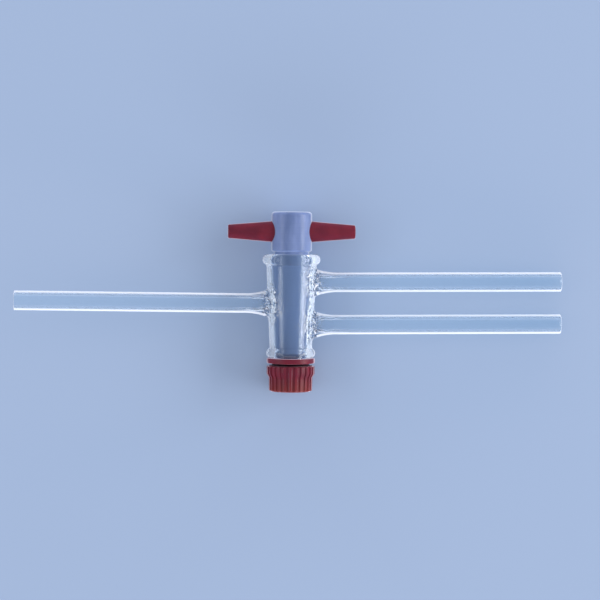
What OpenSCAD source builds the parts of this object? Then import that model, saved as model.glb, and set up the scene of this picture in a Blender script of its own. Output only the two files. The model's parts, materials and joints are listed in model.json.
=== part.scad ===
// Three-way laboratory stopcock with a double oblique plug: one arm faces a pair of
// parallel arms, and a half turn of the plug leads the single arm to the other one.
//
// Every piece is drawn upright, with the plug's axis on Z, the handle on top, the single
// arm towards -X and the pair towards +X. Height zero is the level of the single arm.
// laid_down() then tips the whole onto a bench as it comes to rest: on the rim of the
// barrel, on the nut and on the end of the lower paired arm.

/* [Barrel] */
// Height of the barrel's rim above the single arm
rim_height = 18.8; // [18:0.1:24]
// Depth of the barrel's ground end below the single arm
tail_depth = 20.7; // [18:0.1:26]
// Glass wall at the wide end
wall_wide = 1.85; // [1.4:0.05:2.6]
// Glass wall at the narrow end
wall_narrow = 2.2; // [1.6:0.05:3]
// How far the rolled rim stands out from the wall
rim_proud = 1.5; // [1:0.05:2.2]
// Radius of the rolled rim's round edge
rim_roll = 2.1; // [1.6:0.1:3]
// How far the bead at the narrow end stands out from the wall
bead_proud = 1.25; // [0.8:0.05:1.8]
// Radius of that bead's round edge
bead_roll = 1.9; // [1.2:0.1:2.4]
// Hollow where a bead runs into the wall
bead_fillet = 0.8; // [0.3:0.1:1.2]
// Rounding of fire-polished glass edges
polish = 0.4; // [0.2:0.05:0.6]

/* [Arms] */
// Outside diameter of the arms
arm_d = 7.4; // [6:0.1:9]
// Wall of the arms
arm_wall = 1.5; // [0.8:0.1:1.8]
// Reach of the single arm from the plug's axis
single_reach = 104.9; // [60:0.1:160]
// Reach of the paired arms from the plug's axis
pair_reach = 103.2; // [60:0.1:160]
// Level of each paired arm above or below the single arm
port_level = 8.05; // [7.5:0.05:9.5]
// Lean of the arms towards the handle
arm_lean = 0.4; // [0:0.05:2]
// Run of the fused joint outside the barrel's wall
flare_run = 9; // [5:0.5:14]
// Growth of the arm's radius at the fused joint
flare_growth = 2.8; // [1:0.1:3]
// Port through the glass wall
port_d = 3; // [2.6:0.1:3.6]

/* [Plug] */
// Diameter of the cone at its wide edge
cone_d = 15.1; // [14:0.1:18]
// Length of cone for each unit of diameter
taper = 10; // [9:1:12]
// Depth of the cone's wide edge below the rim
cone_inset = 3.8; // [3:0.1:5]
// Distance of the cone's narrow edge above the barrel's end
cone_short = 1.5; // [1:0.1:2.5]
// Oblique passages through the cone
passage_d = 2.5; // [2:0.1:2.6]
// Depth of the neck's relief behind the cone's wide edge
neck_relief = 0.85; // [0.5:0.05:2]
// How far the head stands out past the cone's wide edge
head_lip = 0.15; // [-0.5:0.05:2]
// Length of the head
head_len = 15.1; // [12:0.1:19]
// Gap between the rim and the head
head_gap = 0.95; // [0.5:0.05:2]
// Rounding of the head's upper edge
head_round = 1.3; // [0.5:0.1:2]
// Outside diameter of the threaded tail
tail_d = 9.9; // [9:0.1:10.2]
// Depth of the two flats on the tail
flat_depth = 0.75; // [0.4:0.05:1]

/* [Handle] */
// Tip to tip length of the handle
handle_len = 48.4; // [36:0.2:64]
// Diameter of the handle inside the head
handle_d = 8.2; // [6:0.05:9]
// Diameter of the handle's tips
handle_tip_d = 5.3; // [4:0.1:5.8]
// Rounding of the tips
handle_round = 0.5; // [0.2:0.1:1]

/* [Washer and nut] */
// How far the washer's edge stays inside the bead's
washer_inset = 0.2; // [0:0.05:1]
// Thickness of the washer
washer_t = 1.9; // [1.2:0.1:2.5]
// Thickness of the sealing ring's cord
ring_cord = 2; // [1.5:0.1:2.4]
// Radial slack of the sealing ring on the tail
ring_slack = 0.3; // [0.1:0.05:0.6]
// Length of the nut
nut_len = 9.8; // [7:0.1:13]
// Wall of the collar outside the sealing ring's seat
collar_wall = 1.77; // [1:0.01:3]
// Length of the collar's straight part
collar_len = 2.9; // [2:0.1:4]
// Wall of the nut outside the tail
nut_wall = 3.27; // [2.5:0.01:3.4]
// Number of ribs on the nut
rib_count = 24; // [16:1:32]
// Height of the ribs
rib_height = 0.45; // [0.2:0.05:0.6]
// Depth of the seat for the sealing ring
seat_depth = 1.1; // [0.4:0.05:1.4]
// Distance of the tail's end inside the nut
tail_hidden = 1.05; // [0.5:0.05:2]

/* [Fits] */
// Radial clearance between the cone and the ground barrel
cone_clear = 0.03; // [0.01:0.01:0.08]
// Radial clearance between the handle and its hole
handle_clear = 0.04; // [0.01:0.01:0.1]
// Radial clearance of the washer and the nut on the tail
tail_clear = 0.08; // [0.04:0.01:0.1]
// Gap between faces that rest on each other
face_clear = 0.02; // [0.01:0.01:0.05]

/* [Hidden] */
$fn = 96;
past = 1; // how far a cutter reaches past the face it opens

// Barrel
cone_top = rim_height - cone_inset;
cone_low = -tail_depth + cone_short;
rim_z = rim_height - rim_roll;
bead_z = -tail_depth + bead_roll;

// Radius of the ground barrel at a height
function bore_r(z) = (cone_d - (cone_top - z) / taper) / 2;

// Radius of the barrel's outside at a height, straight from the bead to the rim
function wall_r(z) = let (
    low = bore_r(bead_z) + wall_narrow,
    wide = bore_r(rim_z) + wall_wide
) low + (wide - low) * (z - bead_z) / (rim_z - bead_z);

rim_c = [wall_r(rim_z) + rim_proud - rim_roll, rim_z];
bead_c = [wall_r(bead_z) + bead_proud - bead_roll, bead_z];

// Points of an arc, ten degrees or less apart, turning either way
function arc(centre, r, from, to) = let (steps = ceil(abs(to - from) / 10))
    [for (i = [0 : steps]) let (a = from + (to - from) * i / steps) centre + r * [cos(a), sin(a)]];

// Centre of the hollow between a bead and the wall, on the side that faces the other bead
function fillet_c(bead, roll, side) = let (
    r = wall_r(bead[1]) + bead_fillet,
    rise = sqrt(pow(roll + bead_fillet, 2) - pow(r - bead[0], 2))
) [r, bead[1] + side * rise];

// Direction from one point to another, in degrees
function heading(from, to) = atan2(to[1] - from[1], to[0] - from[0]);

low_hollow = fillet_c(bead_c, bead_roll, 1);
top_hollow = fillet_c(rim_c, rim_roll, -1);

// Arms
arm_r = arm_d / 2;
arm_bore_r = arm_r - arm_wall;
flare_sink = 1.8;   // how deep the flare's mouth starts inside the barrel's outside
flare_sweep = 65;   // arc of the ellipse that the flare follows
neck_growth = 0.5;  // growth of the inner passage where it leaves the port
neck_run = 1;       // run of that growth outside the barrel

// Stack of washer, sealing ring and nut below the barrel
washer_top = -tail_depth - face_clear;
washer_low = washer_top - washer_t;
ring_level = washer_low - face_clear - ring_cord / 2;
seat_level = ring_level - ring_cord / 2 - face_clear;
ring_bore = tail_d + 2 * ring_slack;
seat_r = ring_bore / 2 + ring_cord + tail_clear;
nut_top = seat_level + seat_depth;
nut_low = nut_top - nut_len;
nut_side_r = tail_d / 2 + tail_clear + nut_wall;
collar_r = seat_r + collar_wall;
collar_low = nut_top - collar_len;
tail_low = nut_low + tail_hidden;
washer_r = bead_c[0] + bead_roll - washer_inset;
washer_round = 0.35;
nut_edge = 0.3;     // bevel on the nut's upper and lower edges
nut_draft = 0.15;   // how much the nut narrows towards its lower end
collar_slope = 1.4; // length of the slope from the collar to the nut's sides
rib_share = 0.5;    // rib width as a share of its pitch
rib_inset = 0.25;   // distance of the ribs' ends from the nut's end faces

// Plug
neck_r = cone_d / 2 - neck_relief;
head_r = cone_d / 2 + head_lip;
head_low = rim_height + head_gap;
head_top = head_low + head_len;
handle_level = head_low + head_len / 2;
head_base_round = 0.8;
cone_bevel = 0.3;
tail_bevel = 0.6;

// Rest on the bench. Each contact is a ring round the plug's axis: its radius, the
// rounding of its edge and its height. The object pivots on the rolled rim until the
// first of the lower rings touches, and then rolls until a paired arm touches.
rim_ring = [rim_c[0], rim_roll, rim_c[1]];
low_rings = [
    [bead_c[0], bead_roll, bead_c[1]],
    [washer_r - washer_round, washer_round, washer_low + washer_round],
    [collar_r, 0, collar_low],
    [nut_side_r - nut_draft, 0, nut_low + rib_inset],
];

// Pitch of the plug's axis that brings a lower ring to the bench
function pitch_to(ring) = let (
    narrower = rim_ring[0] - ring[0],
    apart = rim_ring[2] - ring[2]
) atan2(narrower, apart) + asin((rim_ring[1] - ring[1]) / norm([narrower, apart]));

rest_pitch = min([for (ring = low_rings) pitch_to(ring)]);
axis_height = rim_ring[0] * cos(rest_pitch) + rim_ring[1] - rim_ring[2] * sin(rest_pitch);

// Roll about the plug's axis that brings the lower paired arm's end to the bench, found
// by repeating from a first guess, because the end's disc tips with the roll
arm_tip = [cos(arm_lean), sin(arm_lean)] * (pair_reach - polish) - [0, port_level];
function roll_from(guess, rounds) = let (
    dip = -cos(rest_pitch) * sin(guess) * cos(arm_lean) + sin(rest_pitch) * sin(arm_lean),
    drop = axis_height + arm_tip[1] * sin(rest_pitch) - polish - (arm_r - polish) * sqrt(1 - dip * dip),
    roll = asin(drop / (cos(rest_pitch) * arm_tip[0]))
) rounds == 0 ? roll : roll_from(roll, rounds - 1);
rest_roll = roll_from(0, 4);

// How far an arm of a given reach extends along X once the object is laid down
function laid_reach(reach) = let (along = cos(rest_roll) * cos(arm_lean))
    (reach - polish) * along + (arm_r - polish) * sqrt(1 - along * along) + polish;

// Ends of the laid object along X and Y, which put the origin under its middle
left_end = -laid_reach(single_reach);
right_end = laid_reach(pair_reach);
handle_end = head_top * cos(rest_pitch) + (head_r - head_round) * sin(rest_pitch);
nut_end = nut_low * cos(rest_pitch) - nut_side_r * sin(rest_pitch);

// Tips the upright object onto the bench, with the origin under the middle of its box
module laid_down() {
    translate([-(left_end + right_end) / 2, -(handle_end + nut_end) / 2, axis_height])
        rotate([rest_pitch, 0, 0])
            rotate([0, rest_roll, 0])
                rotate([-90, 0, 0])
                    children();
}

// Puts a shape drawn along +Z on an arm: side is -1 for the single arm, 1 for a paired one
module on_arm(side, level) {
    translate([0, 0, level]) rotate([0, side * (90 - arm_lean), 0]) children();
}

// The barrel's outside: rolled rim, tapering wall and bead, filled in
module barrel_outside() {
    rotate_extrude() polygon(concat(
        [[0, -tail_depth]],
        arc(bead_c, bead_roll, -90, heading(bead_c, low_hollow)),
        arc(low_hollow, bead_fillet, 180 + heading(bead_c, low_hollow), 180),
        arc(top_hollow, bead_fillet, 180, heading(top_hollow, rim_c)),
        arc(rim_c, rim_roll, heading(rim_c, top_hollow), 90),
        [[0, rim_height]]
    ));
}

// The ground bore, with both mouths fire-polished
module barrel_bore() {
    low_r = bore_r(polish - tail_depth) + polish;
    rim_r = bore_r(rim_height - polish) + polish;
    rotate_extrude() polygon(concat(
        [[0, -tail_depth - past], [low_r, -tail_depth - past]],
        arc([low_r, polish - tail_depth], polish, 270, 180),
        arc([rim_r, rim_height - polish], polish, 180, 90),
        [[rim_r, rim_height + past], [0, rim_height + past]]
    ));
}

// An arm's outside along +Z: it flares like a trumpet into the wall that it is fused to
module arm_outside(reach, level) {
    mouth = wall_r(level) - flare_sink;
    run = flare_sink + flare_run;
    steps = 8;
    rotate_extrude() polygon(concat(
        [[0, 0]],
        [for (i = [steps : -1 : 0]) let (a = flare_sweep * i / steps) [
            arm_r + flare_growth * (1 - cos(a)) / (1 - cos(flare_sweep)),
            mouth + run * (1 - sin(a) / sin(flare_sweep))
        ]],
        arc([arm_r - polish, reach - polish], polish, 0, 90),
        [[0, reach]]
    ));
}

// An arm's passage along +Z, narrow at the port and opening to the tube's own bore
module arm_passage(reach, level) {
    mouth_r = arm_bore_r + polish;
    rotate_extrude() polygon(concat(
        [
            [0, 0],
            [port_d / 2, 0],
            [port_d / 2, bore_r(level) + past / 2],
            [port_d / 2 + neck_growth, wall_r(level) + neck_run],
            [arm_bore_r, wall_r(level) + flare_run],
        ],
        arc([mouth_r, reach - polish], polish, 180, 90),
        [[mouth_r, reach + past], [0, reach + past]]
    ));
}

// All three arms, or their passages where inside is true
module glass_arms(inside) {
    arms = [[-1, 0, single_reach], [1, port_level, pair_reach], [1, -port_level, pair_reach]];
    for (arm = arms) on_arm(arm[0], arm[1]) {
        if (inside) arm_passage(arm[2], arm[1]);
        else arm_outside(arm[2], arm[1]);
    }
}

// Barrel and three arms, fused into one piece of glass
module glass_body() {
    color([0.82, 0.9, 0.95, 0.45]) laid_down() difference() {
        union() {
            barrel_outside();
            glass_arms(inside = false);
        }
        barrel_bore();
        glass_arms(inside = true);
    }
}

// The plug's turned outline: tail, cone, relieved neck and head
module plug_blank() {
    tail_r = tail_d / 2;
    low_r = bore_r(cone_low + cone_bevel) - cone_clear;
    top_r = bore_r(cone_top - cone_bevel) - cone_clear;
    rotate_extrude() polygon(concat(
        [[0, tail_low], [tail_r - tail_bevel, tail_low], [tail_r, tail_low + tail_bevel],
            [tail_r, cone_low], [low_r - cone_bevel, cone_low],
            [low_r, cone_low + cone_bevel], [top_r, cone_top - cone_bevel],
            [top_r - cone_bevel, cone_top], [neck_r, cone_top], [neck_r, head_low]],
        arc([head_r - head_base_round, head_low + head_base_round], head_base_round, -90, 0),
        arc([head_r - head_round, head_top - head_round], head_round, 0, 90),
        [[0, head_top]]
    ));
}

// One oblique passage, which climbs by a port level from the left to the right
module oblique_passage(left_level) {
    right_level = left_level + port_level;
    left = [-bore_r(left_level), 0, left_level];
    right = [bore_r(right_level), 0, right_level];
    length = norm(right - left);
    climb = asin(port_level / length);
    translate((left + right) / 2)
        rotate([0, 90 - climb, 0])
            cylinder(d = passage_d, h = length + 2 * past, center = true);
}

// Everything outside the tail's flats, over the tail's length
module tail_flat_cuts() {
    depth = cone_low - tail_low + past;
    for (side = [-1, 1])
        translate([side * (tail_d - flat_depth), 0, cone_low - depth / 2])
            cube([tail_d, 2 * tail_d, depth], center = true);
}

// Turned plug: the head carries the handle, the cone two oblique passages, the tail the nut
module plug() {
    color([0.72, 0.79, 0.88]) laid_down() difference() {
        plug_blank();
        oblique_passage(0);
        oblique_passage(-port_level);
        tail_flat_cuts();
        translate([0, 0, handle_level])
            rotate([0, 90, 0])
                cylinder(r = handle_d / 2 + handle_clear, h = 3 * head_r, center = true);
    }
}

// One bar through the head, straight inside it and tapering to both tips
module handle() {
    half = handle_len / 2;
    root_r = handle_d / 2;
    tip_r = handle_tip_d / 2;
    straight = sqrt(pow(head_r, 2) - pow(root_r, 2));
    tip_c = [tip_r - handle_round, half - handle_round];
    color([0.55, 0.12, 0.13]) laid_down() translate([0, 0, handle_level]) rotate([0, 90, 0])
        rotate_extrude() polygon(concat(
            [[0, -half]],
            arc([tip_c[0], -tip_c[1]], handle_round, -90, 0),
            [[root_r, -straight], [root_r, straight]],
            arc(tip_c, handle_round, 0, 90),
            [[0, half]]
        ));
}

// Flat washer keyed to the tail's flats, so that it turns with the plug
module washer() {
    rim_r = washer_r - washer_round;
    between_flats = tail_d - 2 * flat_depth + 2 * tail_clear;
    color([0.62, 0.14, 0.15]) laid_down() difference() {
        rotate_extrude() polygon(concat(
            [[0, washer_low]],
            arc([rim_r, washer_low + washer_round], washer_round, -90, 0),
            arc([rim_r, washer_top - washer_round], washer_round, 0, 90),
            [[0, washer_top]]
        ));
        intersection() {
            translate([0, 0, washer_low - past])
                cylinder(d = tail_d + 2 * tail_clear, h = washer_t + 2 * past);
            translate([0, 0, washer_low])
                cube([between_flats, 2 * tail_d, 4 * washer_t], center = true);
        }
    }
}

// Elastic sealing ring between the washer and the nut
module o_ring() {
    color([0.16, 0.06, 0.08]) laid_down()
        translate([0, 0, ring_level])
            rotate_extrude()
                translate([(ring_bore + ring_cord) / 2, 0])
                    circle(d = ring_cord, $fn = 48);
}

// Half section of the nut from an inner radius out, drawn in by depth and short by inset
module nut_section(inner_r, depth, inset) {
    wide_r = collar_r - depth;
    side_r = nut_side_r - depth;
    top = nut_top - inset;
    low = nut_low + inset;
    polygon([
        [inner_r, low], [side_r - nut_draft - nut_edge, low],
        [side_r - nut_draft, low + nut_edge], [side_r, collar_low - collar_slope],
        [wide_r, collar_low], [wide_r, top - nut_edge],
        [wide_r - nut_edge, top], [inner_r, top],
    ]);
}

// Nut with a collar, ribs for the fingers, a seat for the sealing ring and a bore for the tail
module nut() {
    pitch = 360 / rib_count;
    rib = pitch * rib_share;
    rib_root_r = nut_side_r - nut_draft - nut_edge - 2 * rib_height;
    // A rib faces the bench
    facing = -90 - rest_roll - rib / 2;
    color([0.58, 0.12, 0.13]) laid_down() difference() {
        union() {
            rotate_extrude() nut_section(0, rib_height, 0);
            for (i = [0 : rib_count - 1])
                rotate([0, 0, facing + i * pitch])
                    rotate_extrude(angle = rib) nut_section(rib_root_r, 0, rib_inset);
        }
        translate([0, 0, nut_low - past])
            cylinder(d = tail_d + 2 * tail_clear, h = nut_len + 2 * past);
        translate([0, 0, seat_level]) cylinder(r = seat_r, h = seat_depth + past);
    }
}

glass_body();
plug();
handle();
washer();
o_ring();
nut();
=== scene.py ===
"""Glass stopcock: the looks of the part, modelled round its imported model.

Every piece is made upright and in millimetres, with the plug's axis on Z, the handle on
top, the single arm towards -X and the pair towards +X, and height zero at the level of the
single arm. The last step lays it on the bench, in metres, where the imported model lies.
"""
import json
import logging
import math
from collections.abc import Callable, Iterator, Sequence
from contextlib import contextmanager
from dataclasses import dataclass, field
from enum import Enum
from functools import partial
from typing import ClassVar

import bpy
import numpy as np
from mathutils import Matrix, Vector, noise


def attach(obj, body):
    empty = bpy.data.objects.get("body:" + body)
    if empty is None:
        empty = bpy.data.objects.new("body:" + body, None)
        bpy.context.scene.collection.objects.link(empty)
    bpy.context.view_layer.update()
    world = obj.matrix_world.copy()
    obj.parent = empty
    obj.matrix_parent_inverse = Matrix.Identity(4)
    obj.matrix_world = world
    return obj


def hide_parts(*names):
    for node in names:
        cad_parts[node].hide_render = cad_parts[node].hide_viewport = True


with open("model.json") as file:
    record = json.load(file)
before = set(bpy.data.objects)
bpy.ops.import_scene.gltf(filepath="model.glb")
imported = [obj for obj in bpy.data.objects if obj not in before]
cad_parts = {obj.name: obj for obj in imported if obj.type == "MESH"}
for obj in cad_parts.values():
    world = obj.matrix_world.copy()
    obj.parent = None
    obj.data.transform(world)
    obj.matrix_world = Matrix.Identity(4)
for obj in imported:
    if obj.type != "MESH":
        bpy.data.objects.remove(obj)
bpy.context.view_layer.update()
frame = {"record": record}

LOG = logging.getLogger("stopcock")
MM = 0.001
TINY = 1e-9
HAIR = 0.01  # slack in millimetres where points are picked by their place
UP, RIGHT = Vector((0, 0, 1)), Vector((1, 0, 0))
Spot = tuple[float, float]
Range = tuple[float, float]
Outline = list[Spot]
Piece = bpy.types.Object
Socket = bpy.types.NodeSocket
Adder = Callable[..., Socket]


# ---------------------------------------------------------------- outlines and the bench

def arc(centre: Spot, radius: float, start: float, end: float, step: float = 7.5) -> Outline:
    """Points along an arc, turning either way.

    Args:
        centre: Radius and height of the arc's centre.
        radius: Radius of the arc.
        start: First angle in degrees, from the outward direction.
        end: Last angle in degrees.
        step: Largest angle between two points.

    Returns:
        The points, both ends included.
    """
    count = max(1, math.ceil(abs(end - start) / step))
    angles = [math.radians(start + (end - start) * i / count) for i in range(count + 1)]
    return [(centre[0] + radius * math.cos(a), centre[1] + radius * math.sin(a)) for a in angles]


def straight(start: Spot, end: Spot, step: float) -> Outline:
    """Points along a straight stretch.

    Args:
        start: Where it starts.
        end: Where it ends.
        step: Largest distance between two points.

    Returns:
        The points, both ends included.
    """
    count = max(1, math.ceil(math.dist(start, end) / step))
    return [(start[0] + (end[0] - start[0]) * i / count,
             start[1] + (end[1] - start[1]) * i / count) for i in range(count + 1)]


def heading(start: Spot, end: Spot) -> float:
    """Direction from one point to another, in degrees."""
    return math.degrees(math.atan2(end[1] - start[1], end[0] - start[0]))


def rows(parts: bpy.types.bpy_prop_collection, name: str, width: int = 3,
         kind: type = float) -> np.ndarray:
    """Reads a property of the vertices, edges, loops or faces of a mesh.

    Args:
        parts: The collection of them.
        name: Name of the property.
        width: How many numbers it has.
        kind: Type of the numbers.

    Returns:
        One row for each.
    """
    flat = np.empty(len(parts) * width, kind)
    parts.foreach_get(name, flat)
    return flat.reshape(-1, width)


def points_of(piece: Piece) -> np.ndarray:
    """Vertices of a piece, one row each."""
    return rows(piece.data.vertices, "co")


def ends_of(piece: Piece) -> np.ndarray:
    """Numbers of the two vertices of each edge of a piece."""
    return rows(piece.data.edges, "vertices", 2, np.int32)


def move_points(piece: Piece, points: np.ndarray) -> None:
    """Gives the vertices of a piece new places."""
    piece.data.vertices.foreach_set("co", points.astype(np.float32).ravel())
    piece.data.update()


def reshape(piece: Piece, rule: Callable[..., np.ndarray]) -> None:
    """Moves the vertices of an upright piece towards its axis or away from it.

    Args:
        piece: The piece.
        rule: New radii, worked out from the radii, angles and heights of the vertices.
    """
    points = points_of(piece)
    x, y, height = points.T
    radius = np.hypot(x, y)
    wanted = rule(radius, np.arctan2(y, x), height)
    points[:, :2] *= (wanted / np.maximum(radius, TINY))[:, None]
    move_points(piece, points)


class Bench:
    """The operations that every piece is made with."""

    @staticmethod
    def clear() -> None:
        """Leaves edit mode and deselects everything."""
        if bpy.context.object and bpy.context.object.mode != "OBJECT":
            bpy.ops.object.mode_set(mode="OBJECT")
        bpy.ops.object.select_all(action="DESELECT")

    @staticmethod
    def take(piece: Piece) -> None:
        """Makes a piece the only selected and the active one.

        Args:
            piece: The piece.
        """
        Bench.clear()
        piece.select_set(True)
        bpy.context.view_layer.objects.active = piece

    @staticmethod
    @contextmanager
    def editing(piece: Piece, edges: np.ndarray | None = None,
                faces: np.ndarray | None = None) -> Iterator[None]:
        """Opens a piece in edit mode, and closes it after the block.

        Args:
            piece: The piece.
            edges: Which of its edges are selected.
            faces: Which of its faces are selected. All of it is, if neither is given.

        Returns:
            A context in which the piece is open.
        """
        Bench.take(piece)
        whole = edges is None and faces is None
        bpy.context.tool_settings.mesh_select_mode = (whole, edges is not None, faces is not None)
        if not whole:
            mesh = piece.data
            ends = None if edges is None else np.isin(
                np.arange(len(mesh.vertices)), ends_of(piece)[edges])
            for parts, chosen in ((mesh.vertices, ends), (mesh.edges, edges),
                                  (mesh.polygons, faces)):
                parts.foreach_set(
                    "select", np.zeros(len(parts), bool) if chosen is None else chosen)
        bpy.ops.object.mode_set(mode="EDIT")
        if whole:
            bpy.ops.mesh.select_all(action="SELECT")
        yield
        bpy.ops.object.mode_set(mode="OBJECT")

    @staticmethod
    def lathe(name: str, outline: Outline, steps: int) -> Piece:
        """Turns a piece: draws half its section point by point and spins it round Z.

        Args:
            name: Name of the piece.
            outline: Radius and height of each point. It starts and ends on the axis, or
                ends where it starts.
            steps: Number of facets round the axis.

        Returns:
            The closed piece, its faces outwards.
        """
        Bench.clear()
        bpy.ops.mesh.primitive_plane_add(size=1, location=(0, 0, 0))
        piece = bpy.context.object
        piece.name = piece.data.name = name
        with Bench.editing(piece):
            bpy.ops.mesh.merge(type="CENTER")
            bpy.ops.transform.translate(value=(outline[0][0], 0, outline[0][1]))
            for (r0, z0), (r1, z1) in zip(outline, outline[1:]):
                bpy.ops.mesh.extrude_vertices_move(
                    TRANSFORM_OT_translate={"value": (r1 - r0, 0, z1 - z0)})
            bpy.ops.mesh.select_all(action="SELECT")
            bpy.ops.mesh.spin(steps=steps, angle=2 * math.pi, center=(0, 0, 0), axis=(0, 0, 1))
            bpy.ops.mesh.select_all(action="SELECT")
            bpy.ops.mesh.remove_doubles(threshold=0.0005)
            bpy.ops.mesh.normals_make_consistent(inside=False)
        return piece

    @staticmethod
    def rod(name: str, radius: float, low: float, top: float, step: float, steps: int) -> Piece:
        """Turns a plain closed rod to cut with, in facets at most a step high."""
        side = straight((radius, low), (radius, top), step)
        return Bench.lathe(name, [(0.0, low), *side, (0.0, top)], steps)

    @staticmethod
    def place(piece: Piece, matrix: Matrix) -> None:
        """Moves a piece and bakes its place into its mesh.

        Args:
            piece: The piece.
            matrix: What it is moved by.
        """
        piece.matrix_world = matrix
        Bench.take(piece)
        bpy.ops.object.transform_apply(location=True, rotation=True, scale=True)

    @staticmethod
    def aim(piece: Piece, direction: Sequence[float], centre: Sequence[float]) -> Piece:
        """Turns a piece that was made along +Z and moves it into place.

        Args:
            piece: The piece.
            direction: Where its +Z then points.
            centre: Where its origin then lies.

        Returns:
            The same piece.
        """
        turn = UP.rotation_difference(Vector(direction)).to_matrix().to_4x4()
        Bench.place(piece, Matrix.Translation(centre) @ turn)
        return piece

    @staticmethod
    def modify(piece: Piece, kind: str, **settings: object) -> None:
        """Adds a modifier to a piece and applies it.

        Args:
            piece: The piece.
            kind: Type of the modifier.
            settings: The modifier's own settings.
        """
        Bench.take(piece)
        modifier = piece.modifiers.new(kind.lower(), kind)
        for key, value in settings.items():
            setattr(modifier, key, value)
        bpy.ops.object.modifier_apply(modifier=modifier.name)

    @staticmethod
    def cut(piece: Piece, tool: Piece) -> None:
        """Cuts a piece with a closed tool and puts the tool away."""
        Bench.modify(piece, "BOOLEAN", object=tool, operation="DIFFERENCE", solver="MANIFOLD")
        bpy.data.objects.remove(tool)


@dataclass(frozen=True)
class RestPlace:
    """Where the upright millimetre model lies on the bench."""

    turn: Matrix
    origin: Vector

    @classmethod
    def from_record(cls, record: dict) -> "RestPlace":
        """Reads the place from the part's own joint and mount.

        Args:
            record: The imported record.

        Returns:
            The place: the plug's axis is Z, and the single arm leaves it towards -X.
        """
        joint = next(j for j in record["behaviour"]["joints"] if j["name"] == "plug_turn")
        mount = next(m for m in record["mounts"] if m["name"] == "single_arm")
        up = Vector(joint["axis"]).normalized()
        arm = Vector(mount["axis"])
        right = (up * arm.dot(up) - arm).normalized()
        turn = Matrix((right, up.cross(right), up)).transposed()
        return cls(turn, Vector(joint["pos_m"]))

    def lay(self, piece: Piece) -> None:
        """Lays a finished piece on the bench, in metres."""
        Bench.place(piece, Matrix.Translation(self.origin) @ self.turn.to_4x4()
                    @ Matrix.Scale(MM, 4))


PLACE = RestPlace.from_record(frame["record"])


# ---------------------------------------------------------------- finishes

def linear(code: str) -> tuple[float, float, float, float]:
    """Linear colour of an sRGB hex code such as #8899AA."""
    parts = [int(code[i:i + 2], 16) / 255 for i in (1, 3, 5)]
    return (*[c / 12.92 if c <= 0.04045 else ((c + 0.055) / 1.055) ** 2.4 for c in parts], 1.0)


def add_node(tree: bpy.types.NodeTree, kind: str, *values: object, by: dict | None = None,
             out: int | str = 0, **settings: object) -> Socket | None:
    """Adds one node with its settings and links.

    Args:
        tree: The node tree.
        kind: Type of the node, without the ShaderNode in front.
        values: A constant or another node's output for each of its first inputs.
        by: More of them, by name or number.
        out: The output that is wanted, by name or number.
        settings: Values of the node's own properties.

    Returns:
        That output, if the node has any.
    """
    node = tree.nodes.new("ShaderNode" + kind)
    for key, value in settings.items():
        setattr(node, key, value)
    for key, value in [*enumerate(values), *(by or {}).items()]:
        if isinstance(value, Socket):
            tree.links.new(value, node.inputs[key])
        else:
            node.inputs[key].default_value = value
    return node.outputs[out] if node.outputs else None


def open_tree(owner: bpy.types.Material | bpy.types.World) -> Adder:
    """Empties a node tree.

    Args:
        owner: The material or world that it belongs to.

    Returns:
        What adds a node to it.
    """
    owner.use_nodes = True
    owner.node_tree.nodes.clear()
    return partial(add_node, owner.node_tree)


def upright_millimetres(add: Adder) -> Socket:
    """Object coordinates turned upright and in millimetres, as the pieces were made."""
    return add("Mapping", add("TexCoord", out="Object"), PLACE.origin, PLACE.turn.to_euler(),
               (MM, MM, MM), vector_type="TEXTURE")


@dataclass(frozen=True)
class Finish:
    """What a real material gives the eye. Each kind says how, in its own shader."""

    name: str

    def surface(self, add: Adder) -> Socket:
        """The finish's shader, built with what adds a node."""
        raise NotImplementedError

    def material(self) -> bpy.types.Material:
        """Makes the finish's material the first time it is asked for.

        Returns:
            The material.
        """
        made = bpy.data.materials.get(self.name)
        if not made:
            made = bpy.data.materials.new(self.name)
            add = open_tree(made)
            add("OutputMaterial", self.surface(add))
        return made


@dataclass(frozen=True)
class PaintedEdgeHighlight:
    """Painted highlight: a pale layer that a clear or waxy body gets where its surface turns away.
    """

    start: float
    full: float
    weight: float
    colour: str = "#F3F6FF"

    def amount(self, add: Adder, turned: Socket | None = None) -> Socket:
        """How much of it shows, from how far the surface turns away."""
        return add("MapRange", turned or add("LayerWeight", 0.5, out="Facing"),
                   self.start, self.full, 0.0, self.weight, interpolation_type="SMOOTHSTEP")

    def over(self, add: Adder, surface: Socket, amount: Socket | None = None) -> Socket:
        """The painted highlight laid over a shader, in its own amount or another."""
        pale = add("BsdfDiffuse", linear(self.colour))
        return add("MixShader", amount or self.amount(add), surface, pale)


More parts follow.
